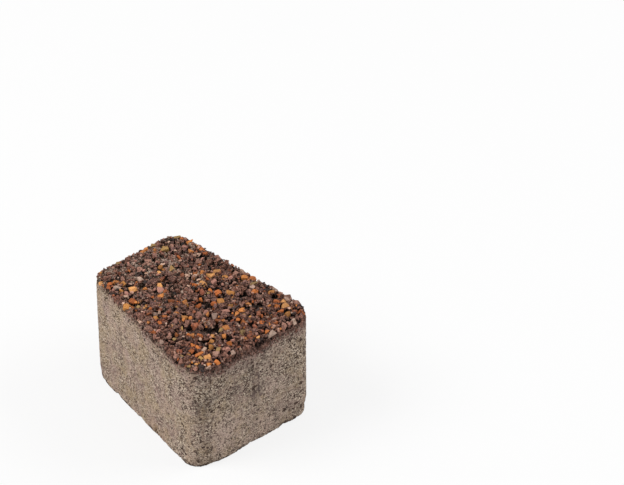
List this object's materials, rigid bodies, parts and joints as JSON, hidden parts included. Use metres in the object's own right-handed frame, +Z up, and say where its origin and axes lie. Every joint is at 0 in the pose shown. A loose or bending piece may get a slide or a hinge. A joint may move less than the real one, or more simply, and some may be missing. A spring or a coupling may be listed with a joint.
{
  "type": "concrete paver",
  "caption": "Trapezoidal concrete paver with rounded corners and a washed aggregate face, laid on a sand bed beside others to surface a path, drive or yard.",
  "frame": {"origin": "centre of the bed face, which lies on the ground", "axes": "+Z up from the bed to the walking face; +Y from the wide end to the narrow end; +X across the stone, towards its right flank seen from the wide end"},
  "size_m": [0.0726, 0.092, 0.06],
  "materials": {
    "concrete": "rough pressed concrete, matt, with fine pits",
    "washed_face": "exposed crushed aggregate in a brown face mix, matt"
  },
  "bodies": {
    "root": {"paver": "concrete"}
  },
  "joints": []
}
